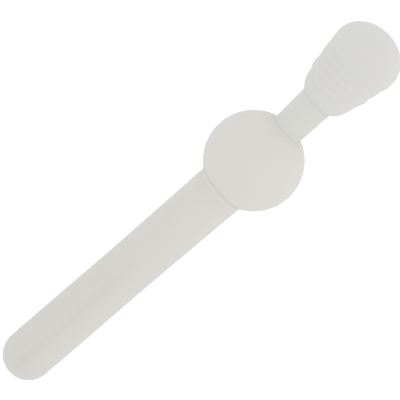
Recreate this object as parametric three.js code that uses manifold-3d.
// Saliva ejector tip: an in-line soft suction tip, in millimetres, +Z up.
//
// The origin is the middle of the tip's overall length, on the handle's axis. The handle runs along
// -X to the rounded hose end. The ball, the neck and the ribbed bulb are towards +X, turned by a
// small rest angle about the ball's centre, because the ball is a swivel. "Front" is +X and "rear"
// is -X. Every x below is measured from the ball's centre; the two groups move the whole to the
// origin. Suction path: slots under the bulb, strainer, neck bore, check valve in the hollow ball,
// swivel stem, liner in the handle, hose.

import * as THREE from 'three';
import { mergeVertices } from 'three/addons/utils/BufferGeometryUtils.js';
import Module from 'manifold-3d';

const wasm = await Module();
wasm.setup();

// ---------------------------------------------------------------- shared dimensions (mm)
const BALL_X = 13.7; // the ball's centre, from the middle of the overall length
const REST_YAW_DEG = 2.1; // the neck's rest angle on the handle
const GAP = 0.3; // clearance between neighbouring pieces
const WIDE_GAP = 0.35; // clearance between stacked pieces, and round the valve and the core

const BALL_R = 9.57; // outside of the hollow ball
const BALL_INNER_R = 8.2; // inside of the ball's wall
const REAR_HOLE_R = 4.6; // hole in the ball that the inner pieces go in through
const FRONT_BORE_R = 3.6; // bore in the ball that the neck turns in
const BOSS_R = 5.3; // boss inside the ball, round the neck's flange
const BOSS_BORE_R = 4.4;
const BOSS_FRONT_X = 7.9;
const BOSS_REAR_X = 1.9;
const IN_BOSS_R = BOSS_BORE_R - WIDE_GAP; // pieces that sit in the boss

// ---------------------------------------------------------------- geometry helpers
// Merges shared vertices, drops zero-area triangles and makes the faces point out.
function tidy(geometry) {
  let merged = geometry.clone();
  merged.deleteAttribute('normal');
  merged.deleteAttribute('uv');
  merged = mergeVertices(merged, 1e-4);
  const { index } = merged;
  const kept = [];
  for (let i = 0; i < index.count; i += 3) {
    const [a, b, c] = [index.getX(i), index.getX(i + 1), index.getX(i + 2)];
    if (a !== b && b !== c && c !== a) kept.push(a, b, c);
  }
  let volume = 0;
  const corners = [new THREE.Vector3(), new THREE.Vector3(), new THREE.Vector3()];
  for (let i = 0; i < kept.length; i += 3) {
    corners.forEach((corner, j) => {
      corner.fromBufferAttribute(merged.attributes.position, kept[i + j]);
    });
    volume += corners[0].dot(corners[1].cross(corners[2])) / 6;
  }
  if (volume < 0) {
    for (let i = 0; i < kept.length; i += 3) [kept[i], kept[i + 1]] = [kept[i + 1], kept[i]];
  }
  merged.setIndex(kept);
  return merged;
}

function solid(geometry) {
  const { attributes, index } = tidy(geometry);
  return new wasm.Manifold(
    new wasm.Mesh({
      numProp: 3,
      vertProperties: new Float32Array(attributes.position.array),
      triVerts: new Uint32Array(index.array),
    }),
  );
}

function geometryOf(manifold) {
  const mesh = manifold.getMesh();
  const geometry = new THREE.BufferGeometry();
  const positions = new Float32Array(mesh.vertProperties);
  geometry.setAttribute('position', new THREE.BufferAttribute(positions, 3));
  geometry.setIndex(new THREE.BufferAttribute(new Uint32Array(mesh.triVerts), 1));
  geometry.computeVertexNormals();
  return geometry;
}

// A body of revolution about the X axis from [x, radius] points. A profile that doesn't start and
// end on the axis is closed on itself.
function revolve(profile, segments) {
  const points = profile.map(([x, radius]) => new THREE.Vector2(radius, x));
  const onAxis = profile[0][1] === 0 && profile.at(-1)[1] === 0;
  if (!onAxis) points.push(points[0].clone());
  const lathe = new THREE.LatheGeometry(points, segments);
  lathe.rotateZ(-Math.PI / 2);
  const geometry = tidy(lathe);
  geometry.computeVertexNormals();
  return geometry;
}

// [x, radius] points on a circle about (centreX, 0); angles in degrees, measured from +X
function arc(centreX, radius, startDeg, endDeg, steps) {
  const points = [];
  for (let i = 0; i <= steps; i++) {
    const angle = THREE.MathUtils.degToRad(startDeg + ((endDeg - startDeg) * i) / steps);
    points.push([centreX + radius * Math.cos(angle), radius * Math.sin(angle)]);
  }
  return points;
}

// On a sphere centred on the axis, the angle from +X (degrees) or the x of the point at a given
// distance from the axis, on the front or the rear side.
const frontAngle = (sphereR, radius) => THREE.MathUtils.radToDeg(Math.asin(radius / sphereR));
const rearAngle = (sphereR, radius) => 180 - frontAngle(sphereR, radius);
const frontX = (sphereR, radius) => Math.sqrt(sphereR * sphereR - radius * radius);
const rearX = (sphereR, radius) => -frontX(sphereR, radius);

// Profile points on the rear of a sphere about the ball's centre, from one radius to another
const rearArc = (sphereR, startR, endR, steps) =>
  arc(0, sphereR, rearAngle(sphereR, startR), rearAngle(sphereR, endR), steps);

// A box from its [min, max] extents
function box([x0, x1], [y0, y1], [z0, z1]) {
  const geometry = new THREE.BoxGeometry(x1 - x0, y1 - y0, z1 - z0);
  geometry.translate((x0 + x1) / 2, (y0 + y1) / 2, (z0 + z1) / 2);
  return geometry;
}

// Cuts four side windows, with two slots that cross on the axis.
function cutSideWindows(body, xExtent, halfWidth) {
  const through = [-5, 5];
  const across = [-halfWidth, halfWidth];
  return body
    .subtract(solid(box(xExtent, through, across)))
    .subtract(solid(box(xExtent, across, through)));
}

function oRing(x, ringR, cordR) {
  const cordPoints = 6;
  const profile = [];
  for (let i = 0; i < cordPoints; i++) {
    const angle = (2 * Math.PI * (i + 0.5)) / cordPoints;
    profile.push([x + cordR * Math.cos(angle), ringR + cordR * Math.sin(angle)]);
  }
  return revolve(profile, 24);
}

// ---------------------------------------------------------------- materials
const standard = (color, { roughness, metalness = 0 }) => () =>
  new THREE.MeshStandardMaterial({ color, roughness, metalness });

const milky = standard(0xdcdbd6, { roughness: 0.55 });
const milkyFirm = standard(0xdddcd8, { roughness: 0.42 });
const clearFirm = standard(0xe2e6e6, { roughness: 0.25 });
const whiteHard = standard(0xeeeeea, { roughness: 0.4 });
const sealRubber = standard(0xc9ccca, { roughness: 0.6 });
const steel = standard(0xb9bbbd, { roughness: 0.3, metalness: 1 });

// ---------------------------------------------------------------- handle
const HANDLE_R = 4.9; // radius at the rounded end
const HANDLE_END_CENTRE_X = -59.0; // centre of the rounded end
const HANDLE_END_X = -63.43; // small flat on the rounded end, round the hose opening
const END_WALL_X = -62.2; // inner face of the end wall
const HANDLE_RIM_R = 5.14; // radius where the handle meets the ball
const RIM_EDGE = 0.16; // how far the rim's edge is cut back in radius
const HOSE_R = 1.4; // hose opening
const LINER_BORE_R = 2.6; // lumen of the soft handle, round the liner
const LINER_R = LINER_BORE_R - GAP; // outside of the liner, hose seal and hose socket
const LINER_FRONT_X = -14.9;
const PLUG_BORE_R = 3.55; // wider front lumen, round the swivel stem's plug
const PLUG_BORE_X = -17.5;
const WIRE_R = 0.4;
const WIRE_LUMEN_R = WIRE_R + GAP;
const WIRE_Z = 3.75; // the wire lies off the axis, in the upper wall

// Outline of the handle between its rounded end and its rim: [x, radius]
const HANDLE_OUTLINE = [
  [-46.0, 4.93], [-34.0, 4.88], [-27.0, 4.93], [-20.6, 5.0], [-13.0, 5.08],
];

// The hose seal, hose socket and liner stand in a row inside the end wall.
const HOSE_SEAL_X = END_WALL_X + WIDE_GAP;
const HOSE_SEAL_FRONT_X = HOSE_SEAL_X + 1;
const SOCKET_X = HOSE_SEAL_FRONT_X + WIDE_GAP;
const SOCKET_FRONT_X = -53.95;
const LINER_X = SOCKET_FRONT_X + WIDE_GAP;

function wireRod(x0, x1, radius) {
  const geometry = revolve([[x0, 0], [x0, radius], [x1, radius], [x1, 0]], 10);
  geometry.translate(0, 0, WIRE_Z);
  return geometry;
}

// Soft handle: rounded at the hose end, a little wider towards the ball, with a hollow rim that
// rides on the ball. A narrow lumen in the upper wall holds the wire.
function handleTube() {
  const endFlatR = frontX(HANDLE_R, HANDLE_END_X - HANDLE_END_CENTRE_X);
  const seatR = BALL_R + GAP;
  const rimEdgeR = HANDLE_RIM_R - RIM_EDGE;
  const profile = [
    ...arc(HANDLE_END_CENTRE_X, HANDLE_R, rearAngle(HANDLE_R, endFlatR), 90, 8),
    ...HANDLE_OUTLINE,
    [rearX(seatR, HANDLE_RIM_R) - 0.18, HANDLE_RIM_R],
    ...rearArc(seatR, rimEdgeR, PLUG_BORE_R, 3),
    [PLUG_BORE_X, PLUG_BORE_R],
    [PLUG_BORE_X, LINER_BORE_R],
    [END_WALL_X, LINER_BORE_R],
    [END_WALL_X, HOSE_R],
    [HANDLE_END_X, HOSE_R],
  ];
  const wireLumen = wireRod(-59.6, PLUG_BORE_X + 0.5, WIRE_LUMEN_R);
  return geometryOf(solid(revolve(profile, 30)).subtract(solid(wireLumen)));
}

// Firm liner that carries the suction, so the soft handle can't collapse on it.
function suctionLiner() {
  const boreR = 1.6;
  return revolve(
    [[LINER_X, boreR], [LINER_X, LINER_R], [LINER_FRONT_X, LINER_R], [LINER_FRONT_X, boreR]],
    20,
  );
}

// Soft annealed wire that lets the handle be bent by hand and keep the bend.
const supportWire = () => wireRod(-59.2, -18.0, WIRE_R);

// Lip ring that grips the hose just inside the end wall.
function hoseSeal() {
  const profile = [
    [HOSE_SEAL_X, 1.25],
    [HOSE_SEAL_X, LINER_R],
    [HOSE_SEAL_FRONT_X, LINER_R],
    [HOSE_SEAL_FRONT_X, 1.6],
  ];
  return revolve(profile, 20);
}

// Firm socket that the hose pushes into, with a stop shoulder at its inner end.
function hoseSocket() {
  const boreR = 1.6;
  const shoulderR = 1.2;
  const shoulderX = -54.6;
  const profile = [
    [SOCKET_X, 1.75],
    [SOCKET_X, LINER_R],
    [SOCKET_FRONT_X, LINER_R],
    [SOCKET_FRONT_X, shoulderR],
    [shoulderX, shoulderR],
    [shoulderX, boreR],
    [SOCKET_X + 0.3, boreR],
  ];
  return revolve(profile, 20);
}

// ---------------------------------------------------------------- swivel
const STEM_R = 1.8;
const STEM_BORE_R = 1.2;
const WASHER_R = BALL_INNER_R - GAP; // spherical rear face of the washer
const WASHER_INNER_R = 7.25; // spherical front face of the washer
const FLANGE_SPHERE_R = WASHER_INNER_R - GAP;

// Stem of the swivel: a plug held in the handle's front lumen, and a hollow stem into the ball.
function swivelStem() {
  const plugX = PLUG_BORE_X + GAP;
  const plugR = PLUG_BORE_R - GAP;
  const plugFrontX = -11.2;
  const stemFrontX = -4.6;
  const linerPocketX = -14.5; // front end of the pocket that takes the liner
  const linerPocketR = LINER_R + GAP;
  const profile = [
    [plugX, linerPocketR],
    [plugX, plugR],
    [plugFrontX - 0.5, plugR],
    [plugFrontX, 2.8],
    [plugFrontX, STEM_R],
    [stemFrontX, STEM_R],
    [stemFrontX, STEM_BORE_R],
    [linerPocketX, STEM_BORE_R],
    [linerPocketX, linerPocketR],
  ];
  return revolve(profile, 24);
}

// Round-backed flange on the stem's inner end, which holds the ball on the handle.
function swivelFlange() {
  const boreR = STEM_R + GAP;
  const flangeR = 4.2;
  const frontFaceX = -4.75;
  const rearFace = rearArc(FLANGE_SPHERE_R, boreR, flangeR, 4);
  return revolve([...rearFace, [frontFaceX, flangeR], [frontFaceX, boreR]], 24);
}

// Slip washer between the flange and the ball's wall.
function swivelWasher() {
  const boreR = 3.2;
  return revolve(
    [...rearArc(WASHER_R, boreR, 4.3, 2), ...rearArc(WASHER_INNER_R, 4.05, boreR, 2)],
    24,
  );
}

// ---------------------------------------------------------------- ball
// Hollow ball in one piece, open at the rear for assembly, with an inner boss round the neck.
function hubShell() {
  const boreEdge = 0.12; // bevel at the mouth of the front bore
  const rearOuter = rearAngle(BALL_R, REAR_HOLE_R);
  const rearInner = rearAngle(BALL_INNER_R, REAR_HOLE_R);
  const profile = [
    ...arc(0, BALL_R, rearOuter, frontAngle(BALL_R, FRONT_BORE_R + boreEdge), 15),
    [frontX(BALL_R, FRONT_BORE_R) - boreEdge, FRONT_BORE_R],
    [BOSS_FRONT_X, FRONT_BORE_R],
    [BOSS_FRONT_X, BOSS_BORE_R],
    [BOSS_REAR_X, BOSS_BORE_R],
    [BOSS_REAR_X, BOSS_R],
    ...arc(0, BALL_INNER_R, frontAngle(BALL_INNER_R, BOSS_R), rearInner, 9),
  ];
  return revolve(profile, 32);
}

// Ring that closes the rear of the ball round the stem. The handle's rim hides it.
function hubRetainer() {
  const boreR = 3.45;
  const outerR = REAR_HOLE_R - GAP;
  return revolve(
    [...rearArc(BALL_R, boreR, outerR, 2), ...rearArc(BALL_INNER_R, outerR, boreR, 2)],
    24,
  );
}

// O-ring round the neck, in the boss.
const neckSeal = () => oRing(7.2, 3.87, 0.27);

// ---------------------------------------------------------------- check valve
const NECK_BORE_R = 1.5;
const SEAT_FRONT_X = 4.8;
const SEAT_REAR_X = 3.35;
const CHECK_BALL_R = 2.0;
const CHECK_BALL_X = 1.83; // centre when closed

// Seat of the check valve, which also keeps the neck's flange in the boss.
function valveSeat() {
  const profile = [
    [SEAT_FRONT_X, NECK_BORE_R],
    [SEAT_FRONT_X, IN_BOSS_R],
    [SEAT_REAR_X, IN_BOSS_R],
    [SEAT_REAR_X, 2.1],
    [SEAT_REAR_X + 0.4, NECK_BORE_R],
  ];
  return revolve(profile, 24);
}

// Cage that keeps the check ball at the rear of its seat, open at its sides for the flow.
function valveCage() {
  const frontFaceX = SEAT_REAR_X - WIDE_GAP;
  const rearFaceX = -2.1;
  const floorX = -1.45; // inner face of the cage's rear wall
  const boreR = 2.4;
  const cageR = 3.3;
  const outletR = 1.0;
  const profile = [
    [frontFaceX, boreR],
    [frontFaceX, IN_BOSS_R],
    [2.1, IN_BOSS_R],
    [1.7, cageR],
    [rearFaceX, cageR],
    [rearFaceX, outletR],
    [floorX, outletR],
    [floorX, boreR],
  ];
  return geometryOf(cutSideWindows(solid(revolve(profile, 24)), [-1.0, 1.4], 1.35));
}

// The check ball: suction lifts it off its seat towards the handle, and back-flow closes it.
function checkBall() {
  const profile = [
    [CHECK_BALL_X + CHECK_BALL_R, 0],
    ...arc(CHECK_BALL_X, CHECK_BALL_R, 0, 180, 8).slice(1, -1),
    [CHECK_BALL_X - CHECK_BALL_R, 0],
  ];
  return revolve(profile, 20);
}

// ---------------------------------------------------------------- neck
const NECK_ROOT_R = FRONT_BORE_R - GAP;
const NECK_END_R = 3.55;
const NECK_END_X = 18.3; // step from the neck down to its spigot
const SPIGOT_R = 2.7;
const SPIGOT_END_X = 23.9;
const TIP_ORING_X = 20.9;

// Neck tube: a flange inside the ball, the plain neck that shows, and a spigot inside the bulb.
function neckTube() {
  const flangeX = 5.2;
  const flangeFrontX = 6.5;
  const grooveR = 2.05;
  const grooveHalf = 0.6;
  const profile = [
    [flangeX, NECK_BORE_R],
    [flangeX, IN_BOSS_R],
    [flangeFrontX, IN_BOSS_R],
    [flangeFrontX, NECK_ROOT_R],
    [10.3, NECK_ROOT_R + 0.01],
    [13.2, 3.39],
    [15.4, 3.48],
    [17.0, NECK_END_R],
    [NECK_END_X - 0.1, NECK_END_R],
    [NECK_END_X, NECK_END_R - 0.1],
    [NECK_END_X, SPIGOT_R],
    [TIP_ORING_X - grooveHalf, SPIGOT_R],
    [TIP_ORING_X - grooveHalf, grooveR],
    [TIP_ORING_X + grooveHalf, grooveR],
    [TIP_ORING_X + grooveHalf, SPIGOT_R],
    [SPIGOT_END_X - 0.4, SPIGOT_R],
    [SPIGOT_END_X, 2.4],
    [SPIGOT_END_X, NECK_BORE_R],
  ];
  return revolve(profile, 28);
}

// O-ring in the spigot's groove: the friction that holds the bulb on the neck.
const tipOring = () => oRing(TIP_ORING_X, 2.62, 0.28);

// ---------------------------------------------------------------- bulb core
const CORE_R = 4.15;
const CORE_BORE_R = 3.3;
const CORE_STEP_X = 24.3; // from the spigot's socket to the wider bore
const CORE_NOSE_X = 32.8;
const CORE_NOSE_EDGE_X = 32.4; // where the nose's bevel starts

// Firm core: a socket for the neck's spigot, then a cage that carries the soft bulb.
function tipCore() {
  const rearFaceX = NECK_END_X + WIDE_GAP;
  const socketBoreR = SPIGOT_R + GAP;
  const socketR = 3.5;
  const noseHoleR = 1.2;
  const noseInnerX = 32.1;
  const profile = [
    [rearFaceX, socketBoreR],
    [rearFaceX, socketR],
    [20.0, socketR],
    [20.6, CORE_R],
    [CORE_NOSE_EDGE_X, CORE_R],
    [CORE_NOSE_X, 3.8],
    [CORE_NOSE_X, noseHoleR],
    [noseInnerX, noseHoleR],
    [noseInnerX, CORE_BORE_R],
    [CORE_STEP_X, CORE_BORE_R],
    [CORE_STEP_X, socketBoreR],
  ];
  return geometryOf(cutSideWindows(solid(revolve(profile, 24)), [25.2, 30.8], 1.5));
}

// Strainer thimble inside the core, slotted along its length.
function tipStrainer() {
  const rimX = CORE_STEP_X + GAP;
  const outerR = CORE_BORE_R - GAP;
  const boreR = 2.6;
  const profile = [
    [31.1, 0],
    [31.1, 2.35],
    [30.9, boreR],
    [rimX, boreR],
    [rimX, outerR],
    [31.2, outerR],
    [31.6, 2.6],
    [31.6, 0],
  ];
  let thimble = solid(revolve(profile, 24));
  const slotCount = 4; // each slot cuts both sides
  for (let i = 0; i < slotCount; i++) {
    const slot = box([25.4, 30.4], [-4, 4], [-0.28, 0.28]);
    slot.rotateX((Math.PI / slotCount) * (i + 0.5));
    thimble = thimble.subtract(solid(slot));
  }
  return geometryOf(thimble);
}

// ---------------------------------------------------------------- soft bulb
const BULB_MOUTH_X = 17.2; // where the bulb's lip meets the neck
const BULB_MOUTH_R = 3.86;
const BULB_CAVITY_R = CORE_R + WIDE_GAP; // soft pieces, round the core
const DOME_START_X = 27.6; // last groove, between the ribbed sleeve and the dome
const DOME_CENTRE_X = 30.15;
const DOME_R = 7.17; // largest radius of the bulb
const DOME_HALF_LENGTH = 5.89; // from the largest radius to the dome's end
const RIB_CRESTS = [19.7, 21.4, 23.1, 24.85, 26.6];
const RIB_GROOVES = [20.55, 22.25, 24.0, 25.72];
const RIB_DEPTH = 0.16;

// Smooth outline of the bulb under the ribs: [x, radius]
const BULB_OUTLINE = [
  [18.8, 4.79], [19.4, 5.03], [20.0, 5.25], [20.6, 5.44], [21.2, 5.62],
  [21.8, 5.78], [22.4, 5.92], [23.0, 6.05], [23.6, 6.17], [24.2, 6.29],
  [24.8, 6.39], [25.4, 6.5], [26.0, 6.6], [26.6, 6.69], [27.2, 6.79],
  [27.6, 6.85],
];

// Outline of the round lip on the neck: [x, radius]
const LIP_OUTLINE = [
  [BULB_MOUTH_X, BULB_MOUTH_R], [17.3, 4.02], [17.62, 4.24], [18.2, 4.52], [18.85, 4.75],
];

// Interpolated in the outline; beyond its end the last radius holds.
function bulbRadius(x) {
  for (let i = 1; i < BULB_OUTLINE.length; i++) {
    const [[x0, radius0], [x1, radius1]] = [BULB_OUTLINE[i - 1], BULB_OUTLINE[i]];
    if (x <= x1) return radius0 + ((radius1 - radius0) * (x - x0)) / (x1 - x0);
  }
  return BULB_OUTLINE.at(-1)[1];
}

const groovePoint = (x) => [x, bulbRadius(x) - RIB_DEPTH];

// Ribbed soft sleeve: a round lip on the neck, five low ribs, and intake slots in the grooves of
// its underside.
function tipSleeve() {
  const cavityR = 5.0;
  const crestHalf = 0.3;
  const crestRise = 0.04;
  const frontFaceX = DOME_START_X - GAP / 2;
  const profile = [...LIP_OUTLINE];
  RIB_CRESTS.forEach((crest, i) => {
    for (const x of [crest - crestHalf, crest + crestHalf]) {
      profile.push([x, bulbRadius(x) + crestRise]);
    }
    if (i < RIB_GROOVES.length) profile.push(groovePoint(RIB_GROOVES[i]));
  });
  profile.push(
    groovePoint(frontFaceX),
    [frontFaceX, cavityR],
    [21.3, cavityR],
    [21.0, BULB_CAVITY_R],
    [19.7, BULB_CAVITY_R],
    [19.4, BULB_MOUTH_R],
  );

  let sleeve = solid(revolve(profile, 30));
  for (const x of RIB_GROOVES.slice(1)) {
    for (const turnDeg of [-40, 0, 40]) {
      const slot = box([x - 0.28, x + 0.28], [-1.2, 1.2], [-8, -4.6]);
      slot.rotateX(THREE.MathUtils.degToRad(turnDeg));
      sleeve = sleeve.subtract(solid(slot));
    }
  }
  return geometryOf(sleeve);
}

// Smooth soft dome on the core's nose.
function tipDome() {
  const rearFaceX = DOME_START_X + GAP / 2;
  const profile = [
    [CORE_NOSE_X + WIDE_GAP, 0],
    [CORE_NOSE_X + WIDE_GAP, 4.1],
    [CORE_NOSE_EDGE_X + WIDE_GAP, BULB_CAVITY_R],
    [rearFaceX, BULB_CAVITY_R],
    groovePoint(rearFaceX),
    [rearFaceX + 0.45, 6.92],
    [28.8, 7.04],
    [29.5, 7.13],
  ];
  const steps = 10;
  for (let i = 0; i <= steps; i++) {
    const angle = (Math.PI / 2) * (1 - i / steps);
    const radius = i === steps ? 0 : DOME_R * Math.sin(angle);
    profile.push([DOME_CENTRE_X + DOME_HALF_LENGTH * Math.cos(angle), radius]);
  }
  return revolve(profile, 32);
}

// ---------------------------------------------------------------- assembly
// A group about the ball's centre, from [mesh name, geometry function, material function] rows
function assemble(pieces) {
  const group = new THREE.Group();
  group.position.x = BALL_X;
  for (const [name, build, material] of pieces) {
    const mesh = new THREE.Mesh(build(), material());
    mesh.name = name;
    group.add(mesh);
  }
  return group;
}

// Handle side, along -X
const straight = assemble([
  ['handle_tube', handleTube, milky],
  ['suction_liner', suctionLiner, clearFirm],
  ['support_wire', supportWire, steel],
  ['hose_seal', hoseSeal, sealRubber],
  ['hose_socket', hoseSocket, whiteHard],
  ['swivel_stem', swivelStem, whiteHard],
  ['swivel_flange', swivelFlange, whiteHard],
  ['swivel_washer', swivelWasher, sealRubber],
]);

// Ball, neck and bulb, at the rest angle
const turned = assemble([
  ['hub_shell', hubShell, milky],
  ['hub_retainer', hubRetainer, milkyFirm],
  ['neck_seal', neckSeal, sealRubber],
  ['valve_seat', valveSeat, whiteHard],
  ['valve_cage', valveCage, whiteHard],
  ['check_ball', checkBall, sealRubber],
  ['neck_tube', neckTube, milkyFirm],
  ['tip_oring', tipOring, sealRubber],
  ['tip_core', tipCore, whiteHard],
  ['tip_strainer', tipStrainer, clearFirm],
  ['tip_sleeve', tipSleeve, milky],
  ['tip_dome', tipDome, milky],
]);
turned.rotation.z = THREE.MathUtils.degToRad(REST_YAW_DEG);

const part = new THREE.Group();
part.add(straight, turned);

export default part;
